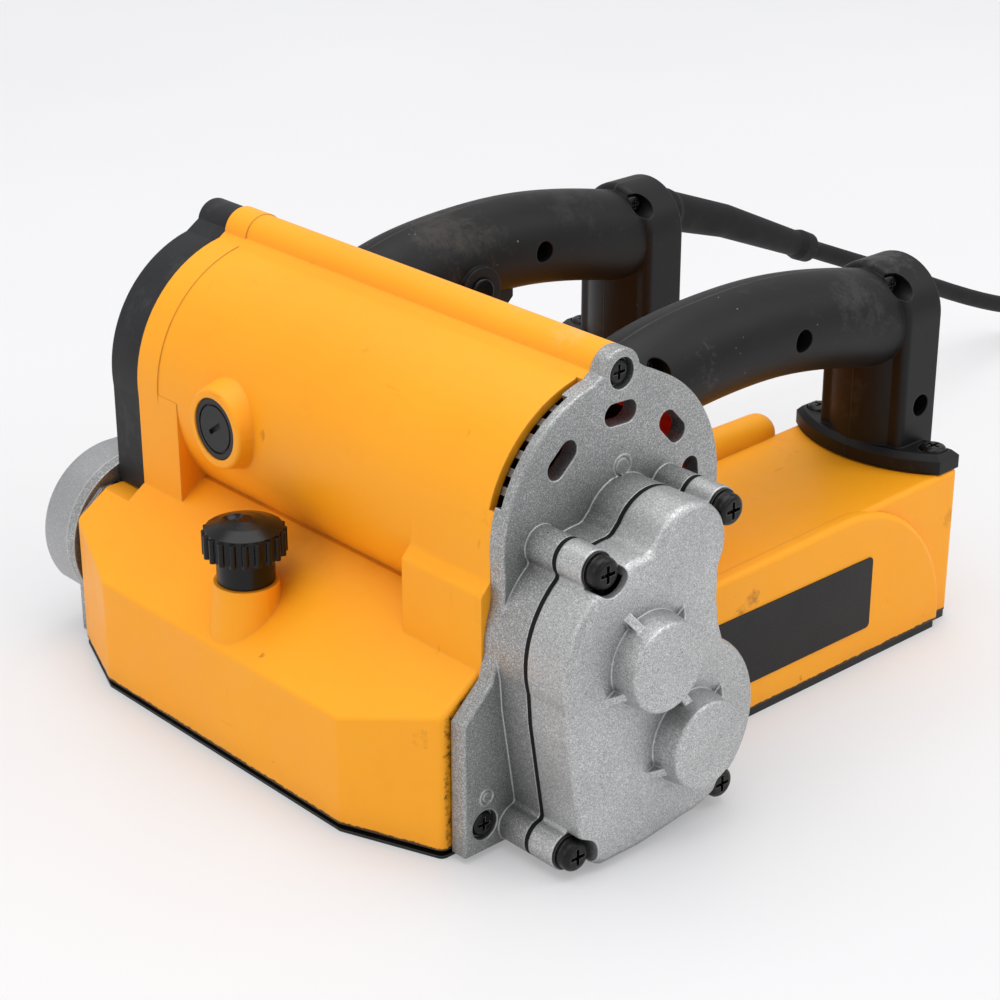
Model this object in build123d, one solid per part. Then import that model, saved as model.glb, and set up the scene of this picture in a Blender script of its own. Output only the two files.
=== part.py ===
from build123d import *

import os
from math import acos, atan2, cos, degrees, hypot, pi, radians, sin, tan

# Wall chaser: transverse universal motor, two-stage side gearbox, cutter discs between two shoes.
# Row frame: +X towards the gearbox, +Y towards the cable, +Z up.  The origin is on the ground, mid-width,
# straight below the cutter spindle.  All lengths are millimetres, all angles degrees.

# ---------------------------------------------------------------- driving dimensions
BODY_HALF_W = 100.0
PLATE_X = 101.0
PLATE_T = 6.0
FRONT_Y = -82.5
CORNER_Y = -69.0
CORNER_X = 65.0
REAR_Y = 183.0
SHELL_T = 3.0
SHOE_T = 3.0
DECK_FRONT_Z = 41.5
DECK_SLOPE = 0.68
DECK_REAR_Z = 60.5
SHOE_TRAVEL = 2.0

MOTOR_Y = -3.0
MOTOR_Z = 101.0
BARREL_R = 46.7
BARREL_BORE_R = 43.7
BARREL_X0 = -84.0
BARREL_X1 = 101.0
RIDGE_Y = -1.0
RIDGE_Z = 148.0
RIDGE_R = 8.0
RIDGE_FLANK = ((-8.5, 149.5), (-17.5, 143.5), (15, 143.5), (6.5, 149.5))
CAP_X0 = -102.0
CAP_FLOOR_Z = 59.5

FIRST_MODULE = 1.25
FIRST_TEETH = (14, 43)
SECOND_MODULE = 1.5
SECOND_TEETH = (17, 35)
SPINDLE_Y = 0.0
SPINDLE_Z = 35.0
CASE_SPLIT_X = 119.0
GASKET_T = 1.6
COVER_X = 138.5
BOSS_X = 148.0

CHAMBER_X0 = -82.0
CHAMBER_X1 = -14.0
CHAMBER_R = 36.5
CUTTER_R = 34.4
CUTTER_COUNT = 6
CUTTER_T = 2.4

BRUSH_X = -32.0
KNOB_Y = -67.5
KNOB_SEAT_Z = 61.5
HANDLE_X = 65.0
GRIP_R = 18.0
POST_HALF_W = 19.5
POST_ARCH_Z = 115.0
FOOT_Z = 60.5
FOOT_SEAT_Z = 65.5
CHANNEL_HALF_W = 32.8
CHANNEL_Z = 36.0
CABLE_R = 3.9
FOOT_BOLT_OFFSETS = (-27.0, 27.0)
FOOT_BOLT_Y = 177.0
SHOE_GUIDES = (-50.0, 50.0)
SHOE_GUIDE_Y = -62.0
REAR_SHOE_SCREWS = ((-84.0, 62.0), (84.0, 62.0), (-84.0, 168.0), (84.0, 168.0))
PORT_Z = 20.0
PORT_R = 14.5
PORT_BORE_R = 12.4
PORT_LENGTH = 20.0
PORT_SCREWS = ((-14.5, 8.0), (14.5, 8.0), (-14.5, 31.0), (14.5, 31.0))
FIT = 0.04
FOOT_ALIGN = (Align.CENTER, Align.CENTER, Align.MIN)


# ---------------------------------------------------------------- helpers
def block(x0, x1, y0, y1, z0, z1):
    return Pos((x0 + x1) / 2, (y0 + y1) / 2, (z0 + z1) / 2) * Box(x1 - x0, y1 - y0, z1 - z0)


def rod_x(radius, x0, x1, y=MOTOR_Y, z=MOTOR_Z):
    return Pos((x0 + x1) / 2, y, z) * Rot(0, 90, 0) * Cylinder(radius, x1 - x0)


def rod_y(radius, y0, y1, x, z):
    return Pos(x, (y0 + y1) / 2, z) * Rot(90, 0, 0) * Cylinder(radius, y1 - y0)


def rod_z(radius, z0, z1, x, y):
    return Pos(x, y, (z0 + z1) / 2) * Cylinder(radius, z1 - z0)


def side_plane(x):
    """Plane facing +X whose own axes are the row's Y and Z."""
    return Plane(origin=(x, 0, 0), x_dir=(0, 1, 0), z_dir=(1, 0, 0))


def polygon(*points):
    return make_face(Polyline(*points, close=True))


def rect(x0, x1, y0, y1):
    return Pos((x0 + x1) / 2, (y0 + y1) / 2) * Rectangle(x1 - x0, y1 - y0)


def disc_at(radius, y, z):
    return Pos(y, z) * Circle(radius)


def slab_x(sketch, x0, x1):
    """Extrudes a sketch drawn in (Y, Z) from x0 to x1."""
    return extrude(side_plane(x0) * sketch, amount=x1 - x0)


def ring_x(outer, inner, x0, x1, y=MOTOR_Y, z=MOTOR_Z):
    return rod_x(outer, x0, x1, y, z) - rod_x(inner, x0 - 1, x1 + 1, y, z)


def mirrored(shape):
    return mirror(shape, about=Plane.YZ)


def group(*shapes):
    solids = [solid for shape in shapes for solid in shape.solids()]
    return Compound(solids)


def deck_z(y):
    return DECK_FRONT_Z + DECK_SLOPE * (y - FRONT_Y)


def gear_axis():
    """Intermediate shaft: where the two stages' centre distances meet."""
    first = FIRST_MODULE * sum(FIRST_TEETH) / 2
    second = SECOND_MODULE * sum(SECOND_TEETH) / 2
    dy = SPINDLE_Y - MOTOR_Y
    dz = SPINDLE_Z - MOTOR_Z
    span = hypot(dy, dz)
    along = (first**2 - second**2 + span**2) / (2 * span)
    across = (first**2 - along**2) ** 0.5
    return MOTOR_Y + (along * dy + across * dz) / span, MOTOR_Z + (along * dz - across * dy) / span


INTER_Y, INTER_Z = gear_axis()


# ---------------------------------------------------------------- fasteners and bearings
def cross_recess(width, depth, top):
    bar = Box(width, width * 0.22, depth)
    return Pos(0, 0, top - depth / 2) * (bar + Rot(0, 0, 90) * bar)


def pan_screw(shank_r, length, head_r, head_h, washers=0):
    """Pan-head cross screw pointing down -Z, its seat at z = 0, with optional captive washers under it."""
    washer_t = 0.9
    lift = washers * washer_t
    head = Pos(0, 0, lift + head_h / 2) * Cylinder(head_r, head_h)
    head = fillet(head.edges().sort_by(Axis.Z)[-1], head_h * 0.55)
    head -= cross_recess(head_r * 1.15, head_h * 0.6, lift + head_h)
    screw = head + Pos(0, 0, (lift - length) / 2) * Cylinder(shank_r, length + lift)
    for index in range(washers):
        washer_r = head_r * (1.14 if index == 0 else 1.0)
        washer = Pos(0, 0, washer_t * (index + 0.5)) * Cylinder(washer_r, washer_t - 0.15)
        screw += washer
    return screw


def along_x(shape, x, y, z):
    """Turns a fastener so that its head faces +X and seats at x."""
    return Pos(x, y, z) * Rot(0, 90, 0) * shape


def along_minus_x(shape, x, y, z):
    return Pos(x, y, z) * Rot(0, -90, 0) * shape


def ball_bearing(bore, outer, width, x0, y, z):
    """Shielded ball bearing: one ring with a shallow shield groove in each face."""
    ring = ring_x(outer / 2 - FIT, bore / 2 + FIT, x0, x0 + width, y, z)
    mid = (bore + outer) / 4
    half = (outer - bore) / 4 * 0.62
    for start in (x0 - 1, x0 + width - 0.4):
        ring -= ring_x(mid + half, mid - half, start, start + 1.4, y, z)
    return ring


def nut_x(across_flats, bore_r, x0, x1, y, z):
    hexagon = Pos(y, z) * (RegularPolygon(across_flats / 2, 6, major_radius=False) - Circle(bore_r))
    return slab_x(hexagon, x0, x1)


def coil_spring(radius, wire_r, height, turns):
    path = Helix(pitch=height / turns, height=height, radius=radius)
    start = path @ 0
    section = Plane(origin=start, z_dir=path % 0) * Circle(wire_r)
    return sweep(section, path=path)


# ---------------------------------------------------------------- gears
def involute(angle):
    return tan(angle) - angle


def gear_sketch(module, teeth, bore_r, phase):
    """Involute spur gear outline with running backlash; phase is the first tooth's direction in radians."""
    pressure = radians(20)
    pitch_r = module * teeth / 2
    base_r = pitch_r * cos(pressure)
    tip_r = pitch_r + 0.9 * module
    root_r = pitch_r - 1.25 * module
    backlash = 0.16
    half = pi / (2 * teeth) - backlash / (2 * pitch_r) + involute(pressure)
    start_r = max(base_r, root_r) + 0.001
    radii = [start_r + (tip_r - start_r) * step / 4 for step in range(5)]
    flank = [(r, half - involute(acos(min(1.0, base_r / r)))) for r in radii]
    root_half = flank[0][1]

    def at(r, angle):
        return (r * cos(angle), r * sin(angle))

    edges = []
    for index in range(teeth):
        middle = phase + 2 * pi * index / teeth
        rise = [at(r, middle - offset) for r, offset in flank]
        fall = [at(r, middle + offset) for r, offset in reversed(flank)]
        low_in = at(root_r, middle - root_half)
        low_out = at(root_r, middle + root_half)
        next_in = at(root_r, middle + 2 * pi / teeth - root_half)
        edges += [Line(low_in, rise[0]), Spline(*rise), ThreePointArc(rise[-1], at(tip_r, middle), fall[0])]
        edges += [Spline(*fall), Line(fall[-1], low_out)]
        edges += [ThreePointArc(low_out, at(root_r, middle + pi / teeth), next_in)]
    return make_face(edges) - Circle(bore_r)


def spur_gear(module, teeth, bore_r, phase, x0, x1, y, z):
    return slab_x(Pos(y, z) * gear_sketch(module, teeth, bore_r, phase), x0, x1)


def mesh_angle(y0, z0, y1, z1):
    return atan2(z1 - z0, y1 - y0)


STAGE_A_X = (108.5, 116.5)
STAGE_B_X = (118.0, 127.0)


def motor_pinion():
    phase = mesh_angle(MOTOR_Y, MOTOR_Z, INTER_Y, INTER_Z)
    return spur_gear(FIRST_MODULE, FIRST_TEETH[0], 5 + FIT, phase, *STAGE_A_X, MOTOR_Y, MOTOR_Z)


def intermediate_gear():
    phase = mesh_angle(INTER_Y, INTER_Z, MOTOR_Y, MOTOR_Z) + pi / FIRST_TEETH[1]
    gear = spur_gear(FIRST_MODULE, FIRST_TEETH[1], 6 + FIT, phase, *STAGE_A_X, INTER_Y, INTER_Z)
    gear -= ring_x(23, 11, STAGE_A_X[0] - 1, STAGE_A_X[0] + 1.5, INTER_Y, INTER_Z)
    return gear


def intermediate_pinion():
    phase = mesh_angle(INTER_Y, INTER_Z, SPINDLE_Y, SPINDLE_Z)
    return spur_gear(SECOND_MODULE, SECOND_TEETH[0], 6 + FIT, phase, *STAGE_B_X, INTER_Y, INTER_Z)


def output_gear():
    phase = mesh_angle(SPINDLE_Y, SPINDLE_Z, INTER_Y, INTER_Z) + pi / SECOND_TEETH[1]
    gear = spur_gear(SECOND_MODULE, SECOND_TEETH[1], 7 + FIT, phase, *STAGE_B_X, SPINDLE_Y, SPINDLE_Z)
    gear -= ring_x(21.5, 12, STAGE_B_X[1] - 1.5, STAGE_B_X[1] + 1, SPINDLE_Y, SPINDLE_Z)
    return gear


# ---------------------------------------------------------------- gear housing and cover
CASE_SCREWS = ((-34.7, 101.4), (19.4, 105.6), (-45.4, 8.0), (19.6, 8.2))
CASE_SCREW_BOSS_R = 6.4
COVER_SEAT_X = 131.0
BEARING_BOSSES = ((INTER_Y, INTER_Z), (SPINDLE_Y, SPINDLE_Z))
EAR_SEAT_X = 103.2
SIDE_SCREWS = ((-57.6, 11.5, 104.0), (36.0, 52.0, 104.0), (36.0, 15.0, 104.0))
EJECTOR_MARKS = ((4.0, -0.2, 117.0), (3.0, -56.7, 21.2))
VENT_ANGLES = (112.0, 162.0)
VENT_INNER_R = 40.0
VENT_X0 = 98.4
VENT_X1 = 103.6


def case_lobes():
    """Three round lobes over the gears, joined by flanks; the lowest is flat towards the ground."""
    sketch = disc_at(31.5, -0.5, 36) + disc_at(33, -19.5, 70) + disc_at(15.6, -0.5, 98.8)
    sketch += polygon((-51.4, 64), (-50.4, 50), (-45.4, 18), (-44, 7), (-37, 2), (-20, 2), (6, 5.2), (25, 18),
                      (28, 48))
    sketch += polygon((28, 48), (17, 60), (12.4, 74), (12.6, 98), (-8, 112.4), (-17, 103.6), (-30, 99),
                      (-44, 88), (-40, 50))
    return sketch


def case_outline():
    """The lobes with a boss for each of the four screws."""
    sketch = case_lobes()
    for y, z in CASE_SCREWS:
        sketch += disc_at(CASE_SCREW_BOSS_R, y, z)
    sketch += polygon((-45, 3), (-30, 3), (-30, 14), (-45, 14))
    sketch += polygon((6, 8), (19, 2.6), (25, 11), (14, 20))
    return fillet(sketch.vertices(), 1.6)


def case_cavity():
    """Room for the gears inside the outline, with posts left round the screws."""
    sketch = disc_at(29.2, -0.5, 36) + disc_at(30.4, -19.5, 70) + disc_at(11.9, -2, 100)
    sketch += polygon((-30, 88), (-13, 101), (8, 94), (9.0, 76), (20, 50), (-19, 60))
    for y, z in CASE_SCREWS:
        sketch -= disc_at(CASE_SCREW_BOSS_R - 1.6, y, z)
    return sketch


def side_slot(angle, reach):
    slot = SlotOverall(14, 7.6)
    y = MOTOR_Y + reach * cos(radians(angle))
    z = MOTOR_Z + reach * sin(radians(angle))
    return Pos(y, z) * Rot(0, 0, angle + 90) * slot


def vent_sector(start, end):
    """Ring sector over the motor's rim, angles counted from +Y towards +Z."""
    rays = [radians(angle) for angle in (start, (start + end) / 2, end)]
    wedge = polygon((0, 0), *[(84 * cos(ray), 84 * sin(ray)) for ray in rays])
    return Pos(MOTOR_Y, MOTOR_Z) * ((Circle(60) - Circle(VENT_INNER_R)) & wedge)


def vent_fins():
    """Short radial fins that bridge the air outlet behind the plate's rim."""
    fins = []
    for angle in range(116, 162, 8):
        fin = Rot(0, 0, angle) * Pos(39.7, 0) * Rectangle(7.4, 2.6)
        fins.append(slab_x(Pos(MOTOR_Y, MOTOR_Z) * fin, 93, VENT_X1 + 0.6))
    return fins


def gear_plate_outline():
    plate = disc_at(47, MOTOR_Y, MOTOR_Z) + disc_at(RIDGE_R, RIDGE_Y, RIDGE_Z)
    plate += polygon(*RIDGE_FLANK)
    plate += polygon((-66, SHOE_TRAVEL), (-66, 49.4), (-54.6, 60), (-52.6, 68), (-49.6, 86), (-49.6, 101),
                     (0, 101), (41, 90), (41, SHOE_TRAVEL))
    return fillet(plate.vertices(), 1.0)


def gear_housing():
    plate = slab_x(gear_plate_outline(), PLATE_X, PLATE_X + PLATE_T)
    plate = fillet(plate.faces().sort_by(Axis.X)[-1].edges(), 0.8)
    body = plate + slab_x(case_outline(), PLATE_X, CASE_SPLIT_X)
    body -= slab_x(case_cavity(), PLATE_X + PLATE_T, CASE_SPLIT_X + 1)
    body += rod_x(17, 90, PLATE_X) + rod_x(14, 97, PLATE_X, INTER_Y, INTER_Z)
    body += rod_x(20.5, 93, PLATE_X, SPINDLE_Y, SPINDLE_Z)
    body -= slab_x(vent_sector(*VENT_ANGLES), PLATE_X - 0.1, VENT_X1)
    for fin in vent_fins():
        body += fin
    for radius, y, z in EJECTOR_MARKS:
        body += rod_x(radius, PLATE_X + PLATE_T - 1, PLATE_X + PLATE_T + 0.3, y, z)
        body -= ring_x(radius - 0.7, radius - 1.3, PLATE_X + PLATE_T, PLATE_X + PLATE_T + 1, y, z)
    body -= rod_x(14, 89, 98) + rod_x(10.6, 97, 130)
    body -= rod_x(11, 100, 108, INTER_Y, INTER_Z)
    body -= rod_x(17.5, 96, 108, SPINDLE_Y, SPINDLE_Z) + rod_x(9, 92, 97, SPINDLE_Y, SPINDLE_Z)
    for angle in (132, 87, 43, 6):
        body -= slab_x(side_slot(angle, 34), PLATE_X - 1, PLATE_X + PLATE_T + 1)
    for y, z in CASE_SCREWS:
        body -= rod_x(2.5 + FIT, 104, CASE_SPLIT_X + 1, y, z)
    for y, z, seat in SIDE_SCREWS + ((RIDGE_Y, RIDGE_Z, EAR_SEAT_X),):
        body -= rod_x(2.4 + FIT, PLATE_X - 1, PLATE_X + PLATE_T + 1, y, z)
        body -= rod_x(5.2, seat, PLATE_X + PLATE_T + 1, y, z)
    return body


def gear_gasket():
    ring = case_outline() - case_cavity()
    for y, z in CASE_SCREWS:
        ring -= disc_at(2.5 + FIT, y, z)
    return slab_x(ring, CASE_SPLIT_X, CASE_SPLIT_X + GASKET_T)


def boss_ribs(y, z, angles):
    """Small triangular webs between a bearing boss and the cover's face."""
    ribs = []
    for angle in angles:
        out = (0, cos(radians(angle)), sin(radians(angle)))
        across = (0, out[2], -out[1])
        plane = Plane(origin=(COVER_X - 0.2, y, z), x_dir=out, z_dir=across)
        web = polygon((13.5, 0), (20.0, 0), (17.4, 2.6), (13.5, 5.6))
        ribs.append(extrude(plane * web, amount=1.5, both=True))
    return ribs


def cover_shell():
    """Full outline up to the screw seats, rounded lobes above them, two bearing bosses on the face."""
    shell = slab_x(case_outline(), CASE_SPLIT_X + GASKET_T, COVER_SEAT_X)
    crown = slab_x(fillet(case_lobes().vertices(), 4.0), COVER_SEAT_X - 4, COVER_X)
    shell += fillet(crown.faces().sort_by(Axis.X)[-1].edges(), 3.0)
    for y, z in BEARING_BOSSES:
        boss = Pos(COVER_X, y, z) * Rot(0, 90, 0) * Cone(15.8, 14.8, BOSS_X - COVER_X, align=FOOT_ALIGN)
        shell += fillet(boss.edges().sort_by(Axis.X)[-1], 1.2)
    return shell


def gear_cover():
    x0 = CASE_SPLIT_X + GASKET_T
    cover = cover_shell()
    for y, z in CASE_SCREWS:
        cover -= rod_x(6.7, COVER_SEAT_X, COVER_X + 1, y, z)
    for rib in boss_ribs(INTER_Y, INTER_Z, (35, 119, 208)) + boss_ribs(SPINDLE_Y, SPINDLE_Z, (37, 107, 204)):
        cover += rib
    cover -= slab_x(case_cavity(), x0 - 1, COVER_X - 2.6)
    for y, z in BEARING_BOSSES:
        cover += rod_x(15.4, 128.4, COVER_X - 1, y, z)
        cover -= rod_x(13, 128, 137.5, y, z) + rod_x(10, 137, BOSS_X - 2.6, y, z)
    for y, z in CASE_SCREWS:
        cover -= rod_x(2.5 + FIT, x0 - 1, COVER_X, y, z)
    return cover


def gear_case_screws():
    screw = pan_screw(2.5, 24, 5.2, 3.6, washers=2)
    return group(*[along_x(screw, COVER_SEAT_X, y, z) for y, z in CASE_SCREWS])


def side_plate_screws():
    screw = pan_screw(2.4, 16, 4.2, 2.6)
    right = [along_x(screw, seat, y, z) for y, z, seat in SIDE_SCREWS]
    left = [along_minus_x(screw, -seat, y, z) for y, z, seat in SIDE_SCREWS if z < 50]
    return group(*right, *left)


def ear_screws():
    screw = pan_screw(2.4, 16, 4.4, 2.6)
    right = along_x(screw, EAR_SEAT_X, RIDGE_Y, RIDGE_Z)
    return group(right, along_minus_x(screw, -EAR_SEAT_X + 4.2, RIDGE_Y, RIDGE_Z))


# ---------------------------------------------------------------- left side
def left_plate_outline():
    return polygon((-66, SHOE_TRAVEL), (-66, 49.4), (-57, 57.5), (41, 57.5), (41, SHOE_TRAVEL))


def left_side_plate():
    plate = slab_x(left_plate_outline(), -PLATE_X - PLATE_T, -PLATE_X)
    plate = fillet(plate.faces().sort_by(Axis.X)[0].edges(), 0.8)
    plate += slab_x(left_cover_outline(0), -PLATE_X - PLATE_T, CAP_X0 - 0.3)
    plate += rod_x(20.5, -PLATE_X, -93, SPINDLE_Y, SPINDLE_Z)
    plate -= rod_x(17.5, -108, -96, SPINDLE_Y, SPINDLE_Z) + rod_x(9, -97, -92, SPINDLE_Y, SPINDLE_Z)
    for y, z, seat in SIDE_SCREWS:
        if z < 50:
            plate -= rod_x(2.4 + FIT, -108, -100, y, z) + rod_x(5.2, -108, -seat, y, z)
    for y, z in LEFT_COVER_SCREWS:
        plate -= rod_x(2.0 + FIT, -108, -100, y, z)
    return plate


LEFT_COVER_SCREWS = ((-50.0, 56.0), (-48.0, 24.5), (16.0, 54.0), (24.0, 25.5))
LEFT_COVER_X = -123.0


def left_cover_outline(inset):
    sketch = disc_at(30 - inset, -40, SPINDLE_Z + 1) + disc_at(31 - inset, SPINDLE_Y, SPINDLE_Z)
    sketch += polygon((-40, 66 - inset), (0, 66 - inset), (0, 5 + inset), (-40, 6 + inset))
    floor = 18.5 + inset
    return sketch - polygon((-80, floor), (80, floor), (80, -20), (-80, -20))


def left_side_cover():
    x1 = -PLATE_X - PLATE_T
    cover = slab_x(left_cover_outline(0), LEFT_COVER_X, x1)
    cover = fillet(cover.faces().sort_by(Axis.X)[0].edges(), 2.2)
    posts = Sketch()
    for y, z in LEFT_COVER_SCREWS:
        posts += disc_at(5, y, z)
    cover -= slab_x(left_cover_outline(2.5) - posts, LEFT_COVER_X + 2.8, x1 + 1)
    for y, z in LEFT_COVER_SCREWS:
        cover -= rod_x(2.0 + FIT, LEFT_COVER_X - 1, x1 + 1, y, z) + rod_x(4.2, LEFT_COVER_X - 1, -120.6, y, z)
    return cover


def left_cover_screws():
    screw = pan_screw(2.0, 19.5, 3.6, 2.2)
    return group(*[along_minus_x(screw, -120.6, y, z) for y, z in LEFT_COVER_SCREWS])


# ---------------------------------------------------------------- main housing
def plan_outline(inset=0.0):
    x = BODY_HALF_W
    outline = polygon((-x, CORNER_Y), (-CORNER_X, FRONT_Y), (CORNER_X, FRONT_Y), (x, CORNER_Y),
                      (x, REAR_Y), (-x, REAR_Y))
    if inset:
        return offset(outline, -inset, kind=Kind.INTERSECTION)
    return outline


def deck_profile(inset=0.0):
    """Side view of the base: sloped front deck, step hidden under the barrel, gently rising rear deck."""
    crest = -40.0
    outline = polygon((FRONT_Y, SHOE_T), (FRONT_Y, DECK_FRONT_Z), (crest, deck_z(crest)), (18, deck_z(crest)),
                      (32, 56.5), (REAR_Y, DECK_REAR_Z), (REAR_Y, SHOE_T))
    if inset:
        front, rear = FRONT_Y + inset, REAR_Y - inset
        outline = offset(outline, -inset, kind=Kind.INTERSECTION)
        outline += polygon((front, -1), (rear, -1), (rear, 8), (front, 8))
    return outline


def base_solid():
    base = extrude(plan_outline(), amount=80) & slab_x(deck_profile(), -120, 120)
    upright = [e for e in base.edges().filter_by(Axis.Z) if abs(e.center().Y) > 60]
    base = fillet(upright, 3.0)
    front = [e for e in base.edges() if e.center().Z > DECK_FRONT_Z - 0.5 and e.center().Y < -45]
    rear = [e for e in base.edges() if e.center().Z > 57 and e.center().Y > 100]
    return fillet(front + rear, 2.0)


def side_bulge():
    """Raised field on the body's side that ends in a quarter round."""
    quarter = disc_at(55, 119, 5) & polygon((119, SHOE_T), (180, SHOE_T), (180, 62), (119, 62))
    sketch = quarter + polygon((44, SHOE_T), (119, SHOE_T), (119, 60), (44, 57.5))
    bulge = slab_x(sketch, BODY_HALF_W - 2, BODY_HALF_W + 3)
    outer = bulge.faces().sort_by(Axis.X)[-1].edges()
    return fillet([e for e in outer if e.center().Z > SHOE_T + 1 and e.center().Y > 50], 2.4)


def barrel_section(growth=0.0):
    radius = BARREL_R + growth
    section = disc_at(radius, MOTOR_Y, MOTOR_Z) + disc_at(RIDGE_R + growth, RIDGE_Y, RIDGE_Z)
    return section + polygon(*RIDGE_FLANK)


def front_frame(x0, x1, face_y):
    """Upright wall that runs from the barrel's front down to the deck."""
    return block(x0, x1, face_y, MOTOR_Y, 50, MOTOR_Z)


def channel_ridge(x):
    """Round-topped wall along one edge of the rear channel, with a rounded rear end."""
    radius, y_end, z_top = 7.4, 154, 59.6
    ridge = block(x - radius, x + radius, 60, y_end, CHANNEL_Z - 1, z_top)
    ridge += rod_z(radius, CHANNEL_Z - 1, z_top, x, y_end)
    return ridge + rod_y(radius, 40, y_end, x, z_top) + Pos(x, y_end, z_top) * Sphere(radius)


def front_pad():
    """Raised pad under the barrel's front on the gearbox side."""
    sketch = polygon((-53.4, 50), (-53.4, 87), (-49.7, 91), (-49.7, 101), (-3, 101), (-3, 50))
    pad = slab_x(sketch, 62, BARREL_X1)
    edges = [e for e in pad.edges() if e.center().Y < -49 and e.center().X < 99 and 51 < e.center().Z < 99]
    return fillet(edges, 2.4)


def outer_shape():
    body = base_solid()
    body -= block(-CHANNEL_HALF_W, CHANNEL_HALF_W, 62, 200, CHANNEL_Z, 80)
    body += channel_ridge(-26) + channel_ridge(26)
    body += side_bulge() + mirrored(side_bulge())
    body += slab_x(barrel_section(), BARREL_X0, BARREL_X1)
    body += slab_x(barrel_section(0.4), BARREL_X0, -72)
    body += front_frame(BARREL_X0, -61, MOTOR_Y - BARREL_R - 0.2)
    body += front_pad()
    body += slab_x(polygon((-40, 50), (-40, 70), (36, 70), (36, 50)), BARREL_X0, BARREL_X1)
    for side in (-1, 1):
        cone = Cone(17, 14, 12, align=FOOT_ALIGN)
        cone = fillet(cone.edges().sort_by(Axis.Z)[-1], 1.4)
        face_y = MOTOR_Y + side * (BARREL_R + 5.3)
        body += Pos(BRUSH_X, face_y - side * 12, MOTOR_Z + 0.8) * Rot(-90 * side, 0, 0) * cone
    body += Pos(0, KNOB_Y, 42) * Cone(13.5, 11.0, KNOB_SEAT_Z - 42, align=FOOT_ALIGN)
    body -= block(-120, BARREL_X0, -62.5, 42, CAP_FLOOR_Z - 0.9, 170)
    return body


def chamber(growth, x0, x1):
    return rod_x(CHAMBER_R + growth, x0, x1, SPINDLE_Y, SPINDLE_Z) + block(
        x0, x1, SPINDLE_Y - CHAMBER_R - growth, SPINDLE_Y + CHAMBER_R + growth, -5, SPINDLE_Z)


def foot_bolt_places():
    return [side * HANDLE_X + dx for side in (-1, 1) for dx in FOOT_BOLT_OFFSETS]


def inner_bosses():
    """Posts inside the base for the screws, bolts and guide pins, before they are drilled."""
    posts = [rod_z(7, 12, 50, x, SHOE_GUIDE_Y) for x in SHOE_GUIDES]
    posts += [rod_z(6, SHOE_T, 57, x, y) for x, y in REAR_SHOE_SCREWS]
    posts += [rod_z(5.2, 38, 58, x, FOOT_BOLT_Y) for x in foot_bolt_places()]
    posts += [rod_x(6, side * 92 - 7, side * 92 + 7, y, z) for side in (-1, 1) for y, z, _ in SIDE_SCREWS]
    return posts


def end_relief(side):
    """Openings in the side walls that let the castings' bearing bosses pass."""
    x0, x1 = sorted((side * 86, side * 110))
    return rod_x(22, x0, x1, SPINDLE_Y, SPINDLE_Z)


def brush_hole(side):
    y0, y1 = sorted((MOTOR_Y + side * 30, MOTOR_Y + side * 60))
    return rod_y(11, y0, y1, BRUSH_X, MOTOR_Z + 0.8)


def stator_ribs():
    ribs = []
    for angle in range(20, 380, 60):
        rib = Pos(22, 0, 42.6) * Box(54, 5, 3.0)
        ribs.append(Pos(0, MOTOR_Y, MOTOR_Z) * Rot(angle, 0, 0) * rib)
    return ribs


def shell_vent():
    """Air outlet between the barrel's end and the gear plate."""
    return slab_x(vent_sector(101, 164), VENT_X0, BARREL_X1 + 1)


def hollow_cavity():
    inner = extrude(plan_outline(SHELL_T), amount=80)
    inner = Pos(0, 0, -2) * inner & slab_x(deck_profile(SHELL_T), -120, 120)
    inner -= block(-CHANNEL_HALF_W - SHELL_T, CHANNEL_HALF_W + SHELL_T, 59, 200, CHANNEL_Z - SHELL_T, 80)
    inner -= rod_x(BARREL_R, -84, 101)
    inner -= block(-101, -84, -60, 50, 55.5, 80)
    return inner - chamber(SHELL_T, CHAMBER_X0 - 2.5, CHAMBER_X1 + 2.5)


def main_housing():
    body = outer_shape() - hollow_cavity()
    bore = rod_x(BARREL_BORE_R, BARREL_X0 - 1, BARREL_X1 + 1)
    bore -= chamber(SHELL_T, CHAMBER_X0 - 2.5, CHAMBER_X1 + 2.5)
    body -= bore
    for post in inner_bosses():
        body += post
    for rib in stator_ribs():
        body += rib
    body += rod_z(10.8, 42, 54, 0, KNOB_Y)
    body -= chamber(0, CHAMBER_X0, CHAMBER_X1) + block(-70, -26, 30, 60, 12, 40)
    body -= rod_x(10, -120, 120, SPINDLE_Y, SPINDLE_Z) + end_relief(-1) + end_relief(1)
    body -= rod_x(15.2, 96.4, 110, INTER_Y, INTER_Z) + shell_vent()
    body -= brush_hole(-1) + brush_hole(1)
    body -= rod_z(6 + FIT, 30, 80, 0, KNOB_Y)
    for x in SHOE_GUIDES:
        body -= rod_z(3.5 + FIT, 10, 28, x, SHOE_GUIDE_Y)
    for x, y in REAR_SHOE_SCREWS:
        body -= rod_z(2.4 + FIT, 0, 22, x, y)
    for x in foot_bolt_places():
        body -= rod_z(2.9 + FIT, 40, 70, x, FOOT_BOLT_Y)
    for y, z, _ in SIDE_SCREWS:
        body -= rod_x(2.4 + FIT, -110, -86, y, z) + rod_x(2.4 + FIT, 86, 110, y, z)
    body -= rod_x(2.4 + FIT, 84, 110, RIDGE_Y, RIDGE_Z) + rod_x(2.4 + FIT, -90, -76, RIDGE_Y, RIDGE_Z)
    body -= rod_y(PORT_BORE_R, 170, 200, 0, PORT_Z)
    for x, z in PORT_SCREWS:
        body -= rod_y(1.7 + FIT, 178, 190, x, z)
    return body.solids().sort_by(SortBy.VOLUME)[-1]


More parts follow.
